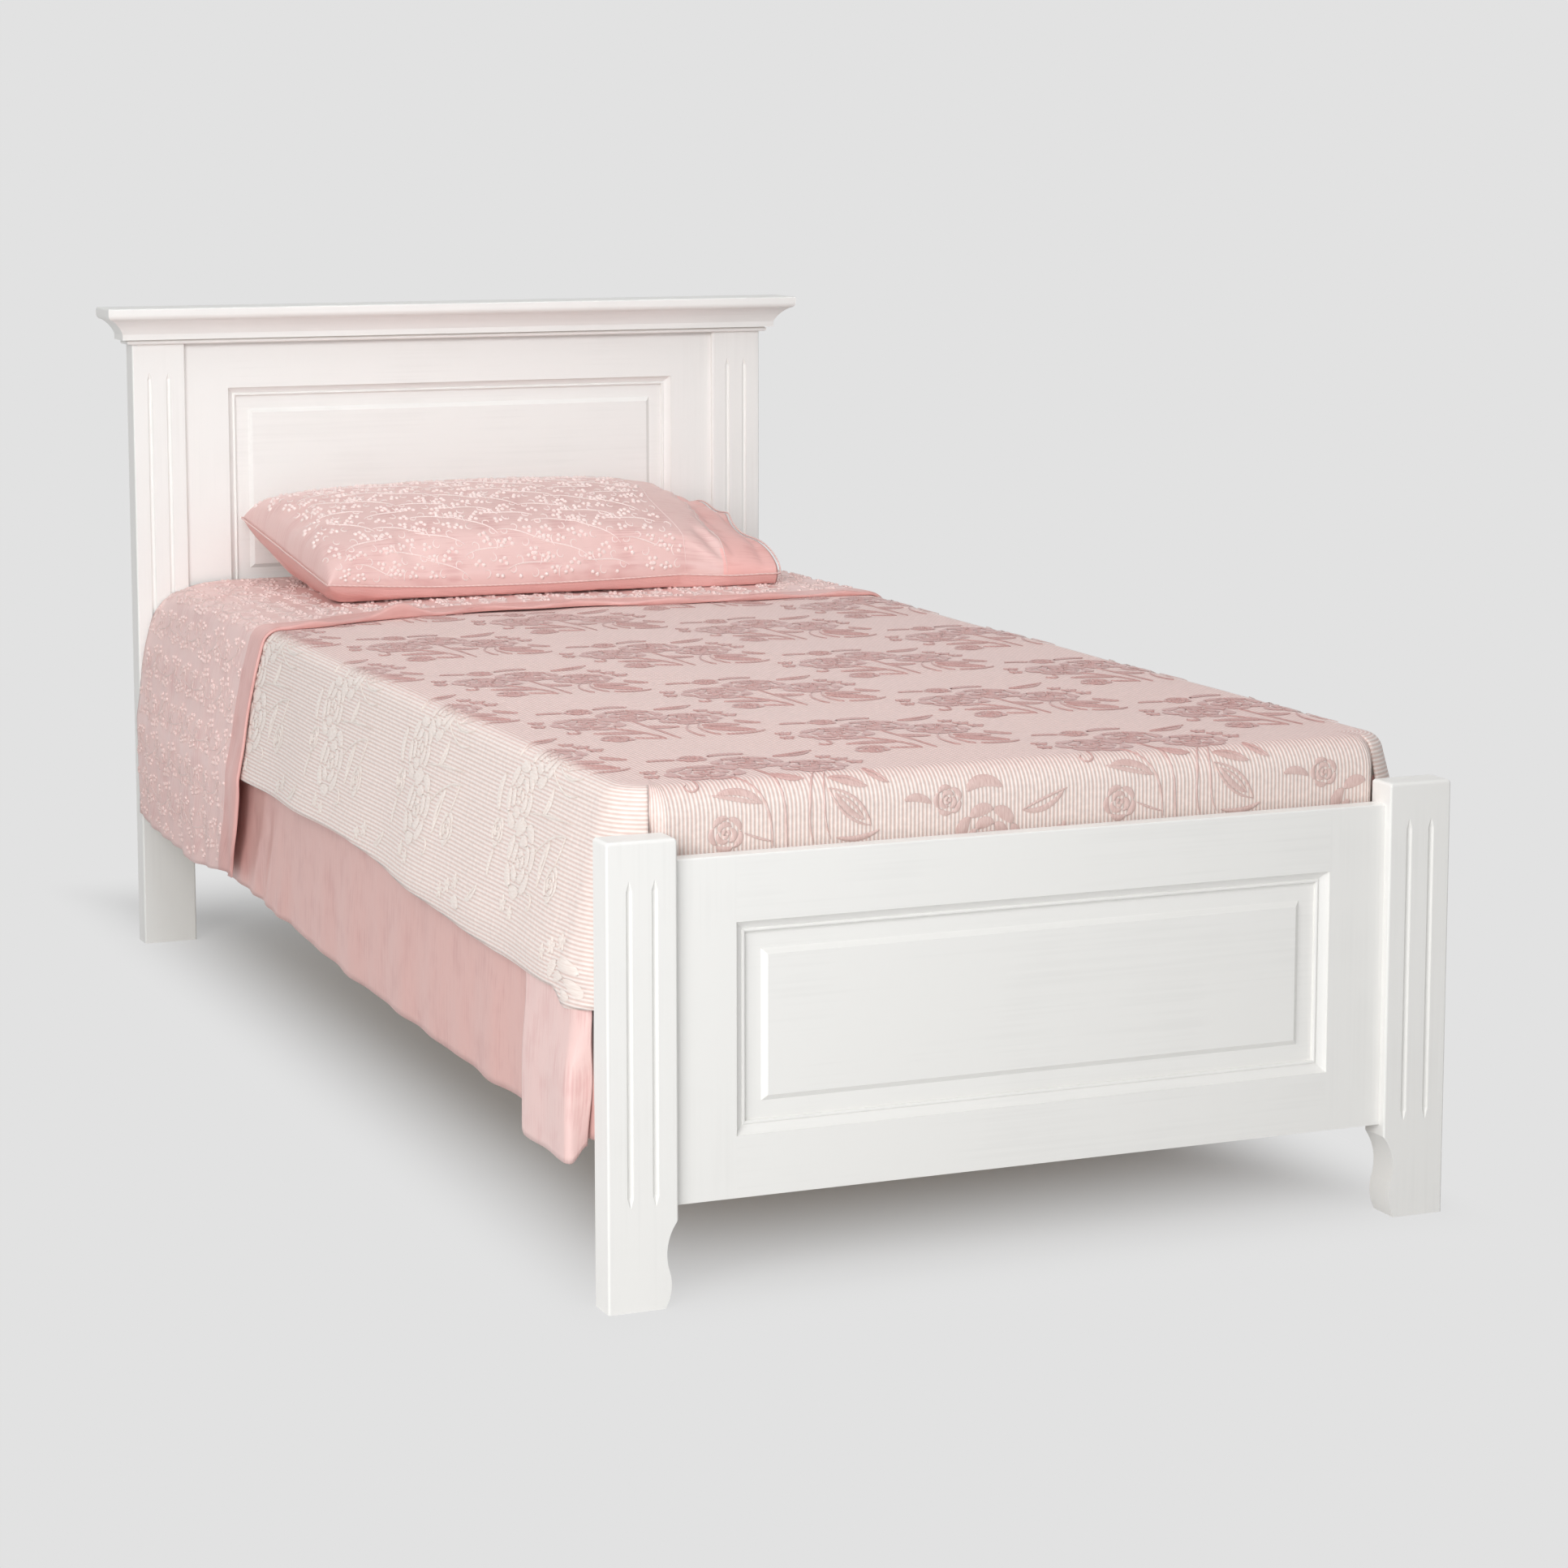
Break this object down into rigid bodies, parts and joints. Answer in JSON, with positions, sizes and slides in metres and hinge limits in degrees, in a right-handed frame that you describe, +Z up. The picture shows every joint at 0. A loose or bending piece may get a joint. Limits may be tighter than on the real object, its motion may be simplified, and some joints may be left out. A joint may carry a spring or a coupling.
{
  "type": "single bed",
  "caption": "White painted single bed with panelled headboard and footboard, fluted posts, slatted base, mattress, ribbed coverlet, turned-down satin sheet and pillow.",
  "frame": {"origin": "on the floor under the middle of the bed's bounding box", "axes": "+Y from the footboard to the headboard, +Z up, +X to the right seen from the foot"},
  "size_m": [1.06, 1.989, 0.929],
  "materials": {
    "white_painted_wood": "satin paint",
    "planed_pine": "planed, unfinished",
    "beech": "bare",
    "zinc_plated_steel": "zinc plated",
    "mattress_ticking": "quilted",
    "jacquard": "ribbed, woven pattern",
    "satin_sheet": "satin",
    "pillow_ticking": "plain",
    "satin_pillowcase": "satin, embroidered"
  },
  "bodies": {
    "frame": {"crown_bead_front": "white_painted_wood", "crown_bead_left": "white_painted_wood", "crown_bead_right": "white_painted_wood", "crown_cove_front": "white_painted_wood", "crown_cove_left": "white_painted_wood", "crown_cove_right": "white_painted_wood", "footboard_bottom_rail": "white_painted_wood", "footboard_dowels": "beech", "footboard_moulding_bottom": "white_painted_wood", "footboard_moulding_left": "white_painted_wood", "footboard_moulding_right": "white_painted_wood", "footboard_moulding_top": "white_painted_wood", "footboard_panel": "white_painted_wood", "footboard_post_left": "white_painted_wood", "footboard_post_right": "white_painted_wood", "footboard_stile_left": "white_painted_wood", "footboard_stile_right": "white_painted_wood", "footboard_top_rail": "white_painted_wood", "headboard_bottom_rail": "white_painted_wood", "headboard_cap": "white_painted_wood", "headboard_dowels": "beech", "headboard_moulding_bottom": "white_painted_wood", "headboard_moulding_left": "white_painted_wood", "headboard_moulding_right": "white_painted_wood", "headboard_moulding_top": "white_painted_wood", "headboard_panel": "white_painted_wood", "headboard_post_left": "white_painted_wood", "headboard_post_right": "white_painted_wood", "headboard_stile_left": "white_painted_wood", "headboard_stile_right": "white_painted_wood", "headboard_top_rail": "white_painted_wood", "hook_plate_screws": "zinc_plated_steel", "ledge_screws": "zinc_plated_steel", "post_strike_plates": "zinc_plated_steel", "rail_hook_plates": "zinc_plated_steel", "side_rail_left": "white_painted_wood", "side_rail_right": "white_painted_wood", "slat_01": "planed_pine", "slat_02": "planed_pine", "slat_03": "planed_pine", "slat_04": "planed_pine", "slat_05": "planed_pine", "slat_06": "planed_pine", "slat_07": "planed_pine", "slat_08": "planed_pine", "slat_09": "planed_pine", "slat_10": "planed_pine", "slat_11": "planed_pine", "slat_12": "planed_pine", "slat_13": "planed_pine", "slat_ledge_left": "planed_pine", "slat_ledge_right": "planed_pine", "slat_screws": "zinc_plated_steel", "strike_plate_screws": "zinc_plated_steel"},
    "mattress_set": {"coverlet": "jacquard", "mattress": "mattress_ticking", "top_sheet": "satin_sheet"},
    "pillow": {"pillow_insert": "pillow_ticking", "pillowcase": "satin_pillowcase"}
  },
  "joints": [
    {"name": "mattress_lift", "type": "slide", "parent": "frame", "child": "mattress_set", "axis": [0, 0, 1], "range_m": [0, 0.2]},
    {"name": "pillow_lift", "type": "slide", "parent": "mattress_set", "child": "pillow", "axis": [0, -0.8, 0.6], "range_m": [0, 0.35]}
  ]
}
